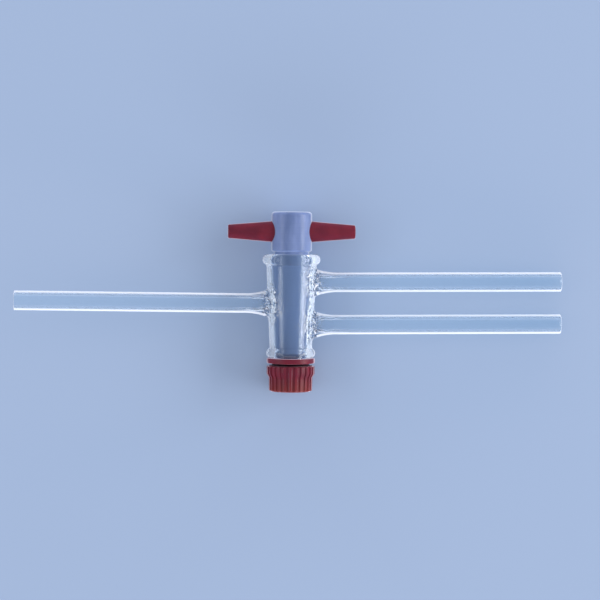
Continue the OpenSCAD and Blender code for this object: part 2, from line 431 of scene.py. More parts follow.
@dataclass(frozen=True)
class BorosilicateGlass(Finish):
    """Lampworked borosilicate: clear fire-polished walls and a finely ground bore."""

    name: str = "borosilicate_lampworked"
    tint: str = "#F8FDFF"
    # Colour of the painted dark spots at the fused seams, painted shade for dark refractions
    dark_spot: str = "#59657E"
    through: str = "#F2F7FA"
    ior: float = 1.474
    # Painted white highlights along the edges of arms, barrel and ground bore, and how much of
    # them the end faces and the arms' bore walls get
    tube_highlight: PaintedEdgeHighlight = PaintedEdgeHighlight(0.33, 0.52, 0.95)
    barrel_highlight: PaintedEdgeHighlight = PaintedEdgeHighlight(0.50, 0.85, 0.6)
    ground_highlight: PaintedEdgeHighlight = PaintedEdgeHighlight(0.25, 0.33, 0.85)
    end_range: Range = (0.65, 0.95)
    barrel_end_highlight: float = 0.25
    tube_end_highlight: float = 0.75
    bore_highlight: float = 0.15
    barrel_r: float = 9.9
    rim_r: float = 11.9
    rim_level: float = 14.5
    ground_r: float = 7.95
    ground_roughness: float = 0.08
    crazed_roughness: float = 0.3
    grit_mm: float = 0.35
    grit_depth_mm: float = 0.04
    # Size and share of the painted dark spots
    dark_spot_mm: float = 0.8
    dark_spot_range: Range = (0.54, 0.62)
    ripple_mm: float = 2.2
    ripple_depth_mm: float = 0.5
    # Patches, width and strength of the painted bright squiggles at the fused seams
    patch_mm: float = 1.7
    patch_range: Range = (0.36, 0.52)
    squiggle_width: float = 0.042
    squiggle_light: Range = (2.0, -0.4)

    @staticmethod
    def _within(add: Adder, place: Socket, radius: float) -> Socket:
        """Marks what lies near the plug's axis.

        Args:
            add: Adds a node to the tree.
            place: Upright place in millimetres.
            radius: How near, in millimetres.

        Returns:
            1 nearer the axis than the radius, and 0 further out.
        """
        flat = add("VectorMath", place, (1, 1, 0), operation="MULTIPLY")
        off_axis = add("VectorMath", flat, operation="LENGTH", out="Value")
        return add("Math", off_axis, radius, operation="LESS_THAN")

    @staticmethod
    def _turned(add: Adder, axis: Socket) -> Socket:
        """How far the wall turns away from the eye round its own tube's axis.

        Seen from the end, a plain facing value would whiten a tube all over.

        Args:
            add: Adds a node to the tree.
            axis: Direction of the tube.

        Returns:
            0 along the middle of the tube as it is seen, and 1 along its edges.
        """
        normal = add("VectorTransform", axis, vector_type="NORMAL", convert_from="OBJECT",
                     convert_to="WORLD")
        facing, along = (add("Math", 1.0, add("LayerWeight", 0.5, *way, out="Facing"),
                             operation="SUBTRACT") for way in ((), (normal,)))
        square = add("Math", along, 2.0, operation="POWER")
        # A little over 1 keeps the root clear of 0 where the eye looks along the tube
        rest = add("Math", 1.0001, square, operation="SUBTRACT")
        across = add("Math", rest, operation="SQRT")
        part = add("Math", facing, across, operation="DIVIDE")
        return add("Math", 1.0, part, operation="SUBTRACT", use_clamp=True)

    def _edges(self, add: Adder, place: Socket) -> Socket:
        """Painted white highlight along the edges of the walls of arms, barrel and bore.

        Args:
            add: Adds a node to the tree.
            place: Upright place in millimetres.

        Returns:
            The share of it.
        """
        ground, near, rim = (self._within(add, place, radius)
                             for radius in (self.ground_r, self.barrel_r, self.rim_r))
        level = add("Math", add("SeparateXYZ", place, out="Z"), operation="ABSOLUTE")
        past_arms = add("Math", level, self.rim_level, operation="GREATER_THAN")
        roll = add("Math", past_arms, rim, operation="MULTIPLY")
        barrel = add("Math", near, roll, operation="MAXIMUM")
        axis = add("Mix", barrel, by={4: PLACE.turn @ RIGHT, 5: PLACE.turn @ UP},
                   data_type="VECTOR", out=1)
        turned = self._turned(add, axis)
        dot = add("VectorMath", add("TexCoord", out="Normal"), axis, operation="DOT_PRODUCT",
                  out="Value")
        steep = add("Math", dot, operation="ABSOLUTE")
        # The barrel's end faces stay clear, and the arms' ends get the painted highlight, as cut
        # tube lights up
        clear, lit = (add("MapRange", steep, *self.end_range, *light) for light in (
            (1.0, self.barrel_end_highlight), (0.0, self.tube_end_highlight)))
        wall = add("Math", clear, self.barrel_highlight.amount(add, turned), operation="MULTIPLY")
        bore = add("Attribute", attribute_name=GlassBody.BORE, out="Fac")
        outside = add("MapRange", bore, 0.0, 1.0, 1.0, self.bore_highlight)
        line = add("Math", outside, self.tube_highlight.amount(add, turned), operation="MULTIPLY")
        arm = add("Math", lit, line, operation="MAXIMUM")
        skin = add("Mix", barrel, by={2: arm, 3: wall})
        return add("Mix", ground, by={2: skin, 3: self.ground_highlight.amount(add, turned)})

    def _painted_squiggles(self, add: Adder, place: Socket, fused: Socket, ripple: Socket) -> Socket:
        """Painted white highlight, with painted bright squiggles where arm and barrel were fused.

        Args:
            add: Adds a node to the tree.
            place: Upright place in millimetres.
            fused: How near the surface is to a fused seam.
            ripple: Height of the ripples that the flame left.

        Returns:
            The share of it.
        """
        off = add("Math", ripple, 0.5, operation="SUBTRACT")
        near = add("Math", off, operation="ABSOLUTE")
        line = add("MapRange", near, 0.0, self.squiggle_width, *self.squiggle_light,
                   interpolation_type="SMOOTHSTEP")
        patch = add("TexNoise", place, by={"Scale": 1 / self.patch_mm, "Detail": 0.0})
        part = add("Math", add("MapRange", patch, *self.patch_range), fused,
                   operation="MULTIPLY")
        return add("Math", line, part, self._edges(add, place), operation="MULTIPLY_ADD",
                   use_clamp=True)

    def surface(self, add: Adder) -> Socket:
        """Clear glass with white highlights painted along the edges of its walls, as drawn tube
        shows them.

        Args:
            add: Adds a node to the tree.

        Returns:
            The shader.
        """
        place = upright_millimetres(add)
        fused = add("Attribute", attribute_name=GlassBody.FUSED, out="Fac")
        crazed = add("MapRange", fused, 0.0, 1.0, self.ground_roughness, self.crazed_roughness)
        rough = add("Math", self._within(add, place, self.ground_r), crazed,
                    operation="MULTIPLY")
        grit = add("TexNoise", place, by={"Scale": 1 / self.grit_mm, "Detail": 2.0})
        fine = add("Bump", rough, self.grit_depth_mm * MM, by={"Height": grit})
        ripple = add("TexNoise", place, by={
            "Scale": 1 / self.ripple_mm, "Detail": 1.0, "Distortion": 0.8})
        bump = add("Bump", fused, self.ripple_depth_mm * MM,
                   by={"Height": ripple, "Normal": fine})
        # Painted shade: small dark spots are painted into the glass's tint where it was fused, for
        # dark refractions
        grain = add("TexNoise", place, by={"Scale": 1 / self.dark_spot_mm, "Detail": 1.0})
        here = add("Math", add("MapRange", grain, *self.dark_spot_range), fused,
                   operation="MULTIPLY")
        tint = add("Mix", here, by={6: linear(self.tint), 7: linear(self.dark_spot)},
                   data_type="RGBA", out=2)
        glass = add("BsdfPrincipled", by={
            "Base Color": tint, "Roughness": rough, "IOR": self.ior,
            "Transmission Weight": 1.0, "Normal": bump})
        # The painted white highlight and bright squiggles are laid over the glass
        walls = self.tube_highlight.over(add, glass, self._painted_squiggles(add, place, fused, ripple))
        # Light goes straight through to the plug and the bench, as most of it does
        rays = add("LightPath").node.outputs
        light = add("Math", rays["Is Shadow Ray"], rays["Is Diffuse Ray"], operation="MAXIMUM")
        return add("MixShader", light, walls, add("BsdfTransparent", linear(self.through)))


@dataclass(frozen=True)
class TurnedPtfe(Finish):
    """PTFE turned on a lathe: milky, waxy and faintly blue, with fine rings from the tool."""

    name: str = "ptfe_turned"
    body: str = "#8797C4"
    shade: str = "#6E80AD"
    # Painted shade: the plug's cone inside the glass is painted this darker colour
    cone_shade: str = "#66799F"
    tone_range: Range = (0.38, 0.72)
    # Painted highlight: a pale layer over the plug's edges
    painted_edge_light: PaintedEdgeHighlight = PaintedEdgeHighlight(0.55, 0.95, 0.6)
    cone_shade_range: Range = (19.3, 17.8)
    cone_shade_weight: float = 0.8
    ring_mm: float = 0.55
    ring_depth_mm: float = 0.06
    cloud_mm: float = 3.5

    def surface(self, add: Adder) -> Socket:
        """A soft milky body with a waxy sheen and a painted highlight on its edges, and painted
        shade that darkens the cone inside the glass.

        Args:
            add: Adds a node to the tree.

        Returns:
            The shader.
        """
        place = upright_millimetres(add)
        height = add("SeparateXYZ", place, out="Z")
        # Tool rings are about 0.1 mm apart, drawn at five times that so that they show
        step = add("Math", height, 1 / self.ring_mm, operation="MULTIPLY")
        rings = add("TexNoise", by={"W": step, "Scale": 1.0, "Detail": 3.0},
                    noise_dimensions="1D")
        # The bar was drawn along the axis, so its clouds run that way
        drawn = add("VectorMath", place, (1, 1, 0.25), operation="MULTIPLY")
        clouds = add("TexNoise", drawn, by={"Scale": 1 / self.cloud_mm, "Detail": 3.0})
        mottle = add("Math", rings, 0.1, clouds, operation="MULTIPLY_ADD")
        colour = add("Mix", add("MapRange", mottle, *self.tone_range),
                     by={6: linear(self.shade), 7: linear(self.body)}, data_type="RGBA", out=2)
        # Painted shade: the plug darkens from the head down into the glass
        cone_shaded = add("MapRange", height, *self.cone_shade_range, 0.0, self.cone_shade_weight)
        tone = add("Mix", cone_shaded, by={6: colour, 7: linear(self.cone_shade)}, data_type="RGBA", out=2)
        bump = add("Bump", 0.1, self.ring_depth_mm * MM, by={"Height": rings})
        ptfe = add("BsdfPrincipled", by={
            "Base Color": tone, "Roughness": 0.28, "IOR": 1.38, "Normal": bump,
            "Subsurface Weight": 0.45, "Subsurface Radius": (1.0, 1.1, 1.3),
            "Subsurface Scale": 0.0012, "Sheen Weight": 0.5, "Sheen Roughness": 0.3})
        # The painted pale highlight goes over its edges
        return self.painted_edge_light.over(add, ptfe)


@dataclass(frozen=True)
class RedPolypropylene(Finish):
    """Moulded polypropylene: brick red right through, satin, slightly translucent."""

    name: str = "polypropylene_red_moulded"
    body: str = "#7E2234"
    shade: str = "#691B2E"
    # Painted light: warmer colour of the nut's thin skirt, as if lit through
    warm: str = "#8C3A30"
    sheen: str = "#FFE4EC"
    tone_range: Range = (0.3, 0.7)
    # Painted highlight: a pale pinkish layer over the red pieces' edges
    painted_edge_light: PaintedEdgeHighlight = PaintedEdgeHighlight(0.6, 0.95, 0.85, "#F3DCE6")
    grain_mm: float = 0.5
    grain_depth_mm: float = 0.04
    flow_mm: float = 5.0
    skirt_range: Range = (-27.0, -33.0)
    skirt_warmth: float = 0.6

    def surface(self, add: Adder) -> Socket:
        """A deep red body with a satin gloss and a painted pale, pinkish highlight on its edges.

        Args:
            add: Adds a node to the tree.

        Returns:
            The shader.
        """
        place = upright_millimetres(add)
        flow = add("TexNoise", place, by={"Scale": 1 / self.flow_mm, "Detail": 3.0})
        colour = add("Mix", add("MapRange", flow, *self.tone_range),
                     by={6: linear(self.shade), 7: linear(self.body)}, data_type="RGBA", out=2)
        # Painted light: the nut's skirt is thin, and its colour is painted warmer there, as light
        # coming through it would make it
        thin = add("MapRange", add("SeparateXYZ", place, out="Z"), *self.skirt_range,
                   0.0, self.skirt_warmth)
        tone = add("Mix", thin, by={6: colour, 7: linear(self.warm)}, data_type="RGBA", out=2)
        grain = add("TexNoise", place, by={"Scale": 1 / self.grain_mm, "Detail": 2.0})
        bump = add("Bump", 0.2, self.grain_depth_mm * MM, by={"Height": grain})
        red = add("BsdfPrincipled", by={
            "Base Color": tone, "Roughness": 0.4, "IOR": 1.49, "Normal": bump,
            "Specular IOR Level": 0.3, "Subsurface Weight": 0.4,
            "Subsurface Radius": (1.0, 0.3, 0.2), "Subsurface Scale": 0.0012,
            "Sheen Weight": 0.15, "Sheen Roughness": 0.25, "Sheen Tint": linear(self.sheen)})
        # The painted pale pinkish highlight goes over its edges
        return self.painted_edge_light.over(add, red)


@dataclass(frozen=True)
class DarkElastomer(Finish):
    """Moulded fluoro rubber: near black with a wine cast, smooth and slightly greasy."""

    name: str = "elastomer_dark_moulded"
    body: str = "#2A0F1A"
    roughness: Range = (0.37, 0.53)
    grain_mm: float = 0.4
    grain_depth_mm: float = 0.03

    def surface(self, add: Adder) -> Socket:
        """A dark ring that reads as a shadow line with a dull gleam.

        Args:
            add: Adds a node to the tree.

        Returns:
            The shader.
        """
        place = upright_millimetres(add)
        grain = add("TexNoise", place, by={"Scale": 1 / self.grain_mm, "Detail": 3.0})
        bump = add("Bump", 0.3, self.grain_depth_mm * MM, by={"Height": grain})
        rough = add("MapRange", grain, 0.0, 1.0, *self.roughness)
        return add("BsdfPrincipled", by={
            "Base Color": linear(self.body), "IOR": 1.4, "Roughness": rough, "Normal": bump})


@dataclass(frozen=True)
class PaleCard(Finish):
    """Pale blue-grey card under the object: matt and even."""

    name: str = "card_pale_matt"
    body: str = "#AFC2E2"
    fibre_mm: float = 0.8
    fibre_depth_mm: float = 0.05

    def surface(self, add: Adder) -> Socket:
        """A plain ground, pale enough for shadows and deep enough for white glass edges.

        Args:
            add: Adds a node to the tree.

        Returns:
            The shader.
        """
        fibre = add("TexNoise", add("TexCoord", out="Object"), by={
            "Scale": 1 / (self.fibre_mm * MM), "Detail": 2.0})
        bump = add("Bump", 0.05, self.fibre_depth_mm * MM, by={"Height": fibre})
        return add("BsdfPrincipled", by={
            "Base Color": linear(self.body), "Roughness": 0.85, "Specular IOR Level": 0.2,
            "Normal": bump})


class Slot(Enum):
    """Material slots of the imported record, and the finish of each."""

    GLASS = ("borosilicate_glass", BorosilicateGlass())
    PTFE = ("ptfe", TurnedPtfe())
    RED = ("red_polypropylene", RedPolypropylene())
    RUBBER = ("dark_elastomer", DarkElastomer())


def hand_over(piece: Piece, slot: Slot, body: str, node: str, crease: float = 38.0) -> Piece:
    """Dresses a finished piece, lays it on the bench and gives it its CAD node's place.

    Args:
        piece: The piece, upright and in millimetres.
        slot: Its material slot.
        body: The CAD body that it rides on.
        node: The CAD node that it stands for.
        crease: Angle in degrees past which an edge stays sharp.

    Returns:
        The same piece.
    """
    name, finish = slot.value
    Bench.take(piece)
    bpy.ops.object.shade_smooth_by_angle(angle=math.radians(crease))
    piece.data.materials.clear()
    piece.data.materials.append(finish.material())
    PLACE.lay(piece)
    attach(piece, body)
    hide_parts(node)
    LOG.info("%s: %d faces on body %s", piece.name, len(piece.data.polygons), body)
    return piece


# ---------------------------------------------------------------- the glass

@dataclass(frozen=True)
class Arm:
    """One arm of the glass: where its axis starts on the plug's axis, and where it points."""

    level: float
    lean: float
    side: int
    reach: float

    def direction(self) -> Vector:
        """Unit vector along the arm, away from the barrel."""
        a = math.radians(self.lean)
        return Vector((self.side * math.cos(a), 0.0, math.sin(a)))

    def centre(self, run: float = 0.0) -> Vector:
        """Place on the arm's axis at a run along it."""
        return UP * self.level + self.direction() * run

    def along(self, points: np.ndarray) -> tuple[np.ndarray, np.ndarray]:
        """Measures points against the arm's axis.

        Args:
            points: The points, one row each.

        Returns:
            Their distances from the axis, and their runs along it.
        """
        d = np.array(self.direction())
        rel = points - np.array([0.0, 0.0, self.level])
        run = rel @ d
        return np.linalg.norm(rel - run[:, None] * d, axis=1), run


def outline_distance(radius: np.ndarray, height: np.ndarray, outline: Outline) -> np.ndarray:
    """Signed distance from points to a turned outline, negative inside it.

    Args:
        radius: Distance of the points from the axis.
        height: Height of the points along the axis.
        outline: The outline, from axis to axis.

    Returns:
        The distances.
    """
    nearest = np.full(radius.shape, np.inf)
    inside = np.zeros(radius.shape, bool)
    for (ar, az), (br, bz) in zip(outline, outline[1:]):
        er, ez = br - ar, bz - az
        size = er * er + ez * ez
        if size < TINY ** 2:
            continue
        t = np.clip(((radius - ar) * er + (height - az) * ez) / size, 0.0, 1.0)
        gap = (radius - ar - t * er) ** 2 + (height - az - t * ez) ** 2
        nearest = np.minimum(nearest, gap)
        if abs(ez) > TINY:
            inside ^= ((az > height) != (bz > height)) & (radius < er * (height - az) / ez + ar)
    return np.where(inside, -1.0, 1.0) * np.sqrt(nearest)


def melt(a: np.ndarray, b: np.ndarray, run: float) -> np.ndarray:
    """Joins two distance fields with a hollow fillet, as hot glass flows together."""
    overlap = np.maximum(run - np.abs(a - b), 0.0) / run
    return np.minimum(a, b) - overlap * overlap * run / 4


def wander(points: np.ndarray, size: float, offset: Sequence[float] = (0, 0, 0)) -> np.ndarray:
    """Smooth noise at points, with lumps of a size, from a place of its own."""
    return np.array([noise.noise(Vector(p) / size + Vector(offset)) for p in points])


@dataclass
class GlassBody:
    """Barrel and three arms, lampworked into one piece of glass."""

    rim_height: float = 18.8
    tail_depth: float = 20.7
    wall_wide: float = 1.85
    wall_narrow: float = 2.2
    rim_proud: float = 1.5
    rim_roll: float = 2.1
    bead_proud: float = 1.25
    bead_roll: float = 1.9
    bead_fillet: float = 0.8
    polish: float = 0.4
    cone_d: float = 15.1
    taper: float = 10.0
    cone_inset: float = 3.8
    arm_r: float = 3.7
    arm_wall: float = 1.5
    arm_lean: float = 0.4
    single_reach: float = 104.9
    pair_reach: float = 103.2
    port_level: float = 8.05
    port_r: float = 1.5
    flare_run: float = 9.0
    flare_growth: float = 2.8
    flare_sink: float = 1.8
    flare_sweep: float = 65.0
    flare_steps: int = 24
    neck_growth: float = 0.5
    melt_run: float = 0.8
    voxel: float = 0.3
    weld: float = 0.06
    stub: float = 22.0
    stub_spare: float = 3.0
    tube_steps: int = 10
    nudge: float = 0.02
    stride: float = 0.6
    seam_spread: float = 5.0
    wrinkle_mm: float = 1.7
    wrinkle_height: float = 0.13
    lump_mm: float = 4.5
    seam_share: float = 1.6
    lump_share: float = 0.25
    calm_share: float = 0.3
    hot_run: float = 14.0
    hot_drift: float = 0.10
    drift_mm: float = 2.6
    flame: float = 0.6
    flame_x: float = 8.2
    flame_spread: float = 1.7
    flame_level: float = 13.0
    even_run: Range = (14.0, 21.0)
    FUSED: ClassVar[str] = "fused"
    BORE: ClassVar[str] = "bore"

    def __post_init__(self) -> None:
        """Works out the arms and the middles of the two beads."""
        self.arms = [Arm(0.0, self.arm_lean, -1, self.single_reach),
                     Arm(self.port_level, self.arm_lean, 1, self.pair_reach),
                     Arm(-self.port_level, self.arm_lean, 1, self.pair_reach)]
        self.arm_bore_r = self.arm_r - self.arm_wall
        self.cone_top = self.rim_height - self.cone_inset
        rim_z, bead_z = self.rim_height - self.rim_roll, self.bead_roll - self.tail_depth
        self.wide = (rim_z, self.bore_r(rim_z) + self.wall_wide)
        self.narrow = (bead_z, self.bore_r(bead_z) + self.wall_narrow)
        self.rim_c = (self.wide[1] + self.rim_proud - self.rim_roll, rim_z)
        self.bead_c = (self.narrow[1] + self.bead_proud - self.bead_roll, bead_z)

    def bore_r(self, height: float) -> float:
        """Radius of the ground bore at a height."""
        return (self.cone_d - (self.cone_top - height) / self.taper) / 2

    def wall_r(self, height: float) -> float:
        """Radius of the barrel's outside, straight from the bead to the rim."""
        share = (height - self.narrow[0]) / (self.wide[0] - self.narrow[0])
        return self.narrow[1] + (self.wide[1] - self.narrow[1]) * share

    def _hollow(self, bead: Spot, roll: float, side: int) -> Spot:
        """Fits the hollow between a bead and the wall.

        Args:
            bead: Centre of the bead.
            roll: Radius of the bead.
            side: 1 for a hollow above the bead, and -1 for one below it.

        Returns:
            Centre of the hollow.
        """
        r = self.wall_r(bead[1]) + self.bead_fillet
        rise = math.sqrt((roll + self.bead_fillet) ** 2 - (r - bead[0]) ** 2)
        return r, bead[1] + side * rise

    def _barrel_outline(self) -> Outline:
        """Draws the barrel's outside.

        Returns:
            The outline, from axis to axis.
        """
        low = self._hollow(self.bead_c, self.bead_roll, 1)
        top = self._hollow(self.rim_c, self.rim_roll, -1)
        return [(0.0, -self.tail_depth),
                *arc(self.bead_c, self.bead_roll, -90, heading(self.bead_c, low)),
                *arc(low, self.bead_fillet, 180 + heading(self.bead_c, low), 180),
                *arc(top, self.bead_fillet, 180, heading(top, self.rim_c)),
                *arc(self.rim_c, self.rim_roll, heading(self.rim_c, top), 90),
                (0.0, self.rim_height)]

    def _arm_outline(self, arm: Arm, end: float) -> Outline:
        """An arm's outside, drawn along +Z.

        Args:
            arm: The arm.
            end: How far from the plug's axis it ends.

        Returns:
            The outline, from axis to axis.
        """
        mouth = self.wall_r(arm.level) - self.flare_sink
        run = self.flare_sink + self.flare_run
        sweep = math.radians(self.flare_sweep)
        flare = []
        for i in range(self.flare_steps, -1, -1):
            a = sweep * i / self.flare_steps
            growth = self.flare_growth * (1 - math.cos(a)) / (1 - math.cos(sweep))
            flare.append((self.arm_r + growth, mouth + run * (1 - math.sin(a) / math.sin(sweep))))
        return [(0.0, 0.0), *flare, (self.arm_r, end), (0.0, end)]

    def _field(self, points: np.ndarray) -> tuple[np.ndarray, np.ndarray]:
        """Measures points against the melted skin.

        Args:
            points: The points, one row each.

        Returns:
            Their distances from the skin, and how near they are to a fused seam, up to 1.
        """
        barrel = outline_distance(np.hypot(points[:, 0], points[:, 1]), points[:, 2],
                                  self._barrel_outline())
        skin = barrel
        seam = np.zeros(len(points))
        for arm in self.arms:
            tube = outline_distance(*arm.along(points), self._arm_outline(arm, arm.reach))
            skin = melt(skin, tube, self.melt_run)
            near = np.exp(-(barrel ** 2 + tube ** 2) / self.seam_spread)
            near *= arm.side * points[:, 0] > 0
            seam = np.maximum(seam, near)
        # The flame also ran over the wall between the pair
        level = np.clip((self.flame_level - np.abs(points[:, 2])) / 2, 0, 1)
        run = self.flame * np.exp(-((points[:, 0] - self.flame_x) / self.flame_spread) ** 2)
        return skin, np.maximum(seam, run * level)

    def _slope(self, points: np.ndarray, here: np.ndarray) -> np.ndarray:
        """Slope of the distance from the melted skin at points, given that distance."""
        return np.stack([(self._field(points + self.nudge * axis)[0] - here) / self.nudge
                         for axis in np.eye(3)], axis=1)

    def _settle(self, points: np.ndarray, rounds: int = 5) -> np.ndarray:
        """Moves points onto the melted skin along its slope.

        Args:
            points: The points, one row each.
            rounds: How many times they are moved.

        Returns:
            The moved points.
        """
        for _ in range(rounds):
            here, _ = self._field(points)
            slope = self._slope(points, here)
            size = np.maximum((slope ** 2).sum(axis=1), 0.25)
            points = points - slope * (np.clip(here, -self.stride, self.stride) / size)[:, None]
        return points

    def _wrinkles(self, points: np.ndarray, seam: np.ndarray) -> np.ndarray:
        """Works out how far the flame left the skin out of true.

        Args:
            points: The points, one row each.
            seam: How near each is to a fused seam.

        Returns:
            The height of the skin at each point over its true place.
        """
        fine, lumps = wander(points, self.wrinkle_mm), wander(points, self.lump_mm, (7, 3, 5))
        return self.wrinkle_height * (self.seam_share * fine * seam
                                      + self.lump_share * lumps * (self.calm_share + seam))

    def _skin(self) -> Piece:
        """Melts the barrel and the roots of its arms into one outer skin.

        Returns:
            The closed skin.
        """
        skin = Bench.lathe("glass_body_skin", self._barrel_outline(), 96)
        end = self.stub + self.stub_spare
        stubs = [Bench.aim(Bench.lathe("stub", self._arm_outline(arm, end), 64),
                           arm.direction(), arm.centre()) for arm in self.arms]
        Bench.take(skin)
        for stub in stubs:
            stub.select_set(True)
        bpy.ops.object.join()
        Bench.modify(skin, "REMESH", mode="VOXEL", voxel_size=self.voxel)
        Bench.modify(skin, "SMOOTH", factor=0.5, iterations=3)
        points = self._settle(points_of(skin))
        here, seam = self._field(points)
        slope = self._slope(points, here)
        slope /= np.linalg.norm(slope, axis=1)[:, None]
        move_points(skin, points + slope * self._wrinkles(points, seam)[:, None])
        return skin

    def _open_root(self, skin: Piece, arm: Arm) -> None:
        """Cuts the closed end off an arm's root, square to the arm.

        Args:
            skin: The outer skin.
            arm: The arm.
        """
        with Bench.editing(skin):
            bpy.ops.mesh.bisect(plane_co=arm.centre(self.stub), plane_no=arm.direction(),
                                clear_outer=True, use_fill=False)
            bpy.ops.mesh.remove_doubles(threshold=self.weld)

    def _draw_tube(self, skin: Piece, arm: Arm) -> None:
        """Draws a tube out from the open edge of its root, and rounds its end.

        Args:
            skin: The outer skin, open at the arm's root.
            arm: The arm.
        """
        direction = np.array(arm.direction())
        pairs = ends_of(skin)
        loops = rows(skin.data.loops, "edge_index", 1, np.int32)
        used = np.bincount(loops[:, 0], minlength=len(pairs))
        points = points_of(skin)
        off_axis, run = arm.along(points)
        mine = (off_axis < 2 * self.arm_r) & (run > self.stub - 2)
        rim = (used == 1) & mine[pairs].all(axis=1)
        ring = np.unique(pairs[rim])
        # Space the ring evenly on its circle, so that the tube's facets are even too
        start = float(run[ring].mean())
        centre = np.array([0, 0, arm.level]) + direction * start
        across = np.array([0.0, 1.0, 0.0])
        up = np.cross(direction, across)
        rel = points[ring] - centre
        turn = np.arctan2(rel @ up, rel @ across)
        order = np.argsort(turn)
        even = turn[order][0] + 2 * math.pi * np.arange(len(ring)) / len(ring)
        even += float(np.mean(turn[order] - even))
        points[ring[order]] = centre + self.arm_r * (
            np.cos(even)[:, None] * across + np.sin(even)[:, None] * up)
        move_points(skin, points)
        end = arm.reach - self.polish
        rounding = arc((self.arm_r - self.polish, end), self.polish, 0, 90, 18)
        with Bench.editing(skin, edges=rim):
            for _ in range(self.tube_steps):
                bpy.ops.mesh.extrude_edges_move(TRANSFORM_OT_translate={
                    "value": tuple(direction * (end - start) / self.tube_steps)})
            for (r0, z0), (r1, z1) in zip(rounding, rounding[1:]):
                bpy.ops.mesh.extrude_edges_move(TRANSFORM_OT_translate={
                    "value": tuple(direction * (z1 - z0))})
                bpy.ops.transform.resize(value=(r1 / r0,) * 3, center_override=arm.centre(z1))
            bpy.ops.mesh.edge_face_add()

    def _bore(self) -> Piece:
        """Makes the tool for the ground bore, which leaves both mouths polished.

        Returns:
            The closed tool.
        """
        p = self.polish
        foot, head = p - self.tail_depth, self.rim_height - p
        low, top = self.bore_r(foot), self.bore_r(head)
        return Bench.lathe("bore_tool", [
            (0.0, foot - p - 1), (low + p, foot - p - 1), *arc((low + p, foot), p, 270, 180, 15),
            *straight((low, foot), (top, head), 0.8)[1:],
            *arc((top + p, head), p, 180, 90, 15)[1:],
            (top + p, head + p + 1), (0.0, head + p + 1)], 144)

    def _passage(self, arm: Arm) -> Piece:
        """Makes the tool for an arm's passage, drawn in at the port and wavy where it was hot.

        Args:
            arm: The arm.

        Returns:
            The closed tool, in place.
        """
        port, wall = self.bore_r(arm.level) + 0.5, self.wall_r(arm.level)
        end = arm.reach - self.polish
        stops = [(self.port_r, 0.0), (self.port_r, port),
                 (self.port_r + self.neck_growth, wall + 1),
                 (self.arm_bore_r, wall + self.flare_run), (self.arm_bore_r, end)]
        outline = [(0.0, 0.0), stops[0]]
        for start, stop, step in zip(stops, stops[1:], (1.0, 0.3, 0.4, 5.0)):
            outline += straight(start, stop, step)[1:]
        mouth = self.arm_bore_r + self.polish
        outline += [*arc((mouth, end), self.polish, 180, 90, 18)[1:],
                    (mouth, arm.reach + 1), (0.0, arm.reach + 1)]
        tool = Bench.lathe("passage_tool", outline, 80)
        points = points_of(tool)
        start = port + 0.1
        t = np.clip((points[:, 2] - start) / (wall + self.hot_run - start), 0, 1)
        hot = np.sin(math.pi * t) ** 0.7
        drift = wander(points, self.drift_mm, (0, 0, 9 * arm.level))
        points[:, :2] *= (1 + self.hot_drift * hot * drift)[:, None]
        move_points(tool, points)
        return Bench.aim(tool, arm.direction(), arm.centre())

    def _bore_mark(self, points: np.ndarray) -> np.ndarray:
        """Marks the walls of the arms' bores where they were drawn straight and even.

        Args:
            points: Vertices of the glass, one row each.

        Returns:
            1 on those walls and 0 elsewhere.
        """
        mark = np.zeros(len(points))
        start, even = self.even_run
        for arm in self.arms:
            off_axis, run = arm.along(points)
            inner = off_axis < self.arm_r - self.arm_wall / 2
            mark = np.maximum(mark, inner * np.clip((run - start) / (even - start), 0.0, 1.0))
        return mark

    def build(self) -> Piece:
        """Models the glass and hands it over.

        Returns:
            The glass, dressed and in place.
        """
        glass = self._skin()
        for arm in self.arms[:2]:
            self._open_root(glass, arm)
        for arm in self.arms:
            self._draw_tube(glass, arm)
        with Bench.editing(glass):
            bpy.ops.mesh.normals_make_consistent(inside=False)
        Bench.cut(glass, self._bore())
        for arm in self.arms:
            Bench.cut(glass, self._passage(arm))
        points = points_of(glass)
        for name, values in ((self.FUSED, self._field(points)[1]),
                             (self.BORE, self._bore_mark(points))):
            mark = glass.data.attributes.new(name, "FLOAT", "POINT")
            mark.data.foreach_set("value", values.astype(np.float32))
        return hand_over(glass, Slot.GLASS, "glass", "glass_body", 42.0)


# ---------------------------------------------------------------- the plug

@dataclass
class Thread:
    """Right-hand thread on the plug's tail, round the plug's axis."""

    crest_r: float = 4.95
    depth: float = 0.62
    pitch: float = 1.5
    land: float = 0.14

    def radius(self, turn: np.ndarray, height: np.ndarray) -> np.ndarray:
        """Radius of the thread, with rounded crests and roots.

        Args:
            turn: Angle round the axis, in radians.
            height: Height along it.

        Returns:
            The radius at each point.
        """
        phase = height / self.pitch - turn / (2 * math.pi)
        share = np.abs(2 * (phase - np.floor(phase)) - 1)
        soft = np.clip((share - self.land) / (1 - 2 * self.land), 0, 1)
        return self.crest_r - self.depth * (soft * soft * (3 - 2 * soft))


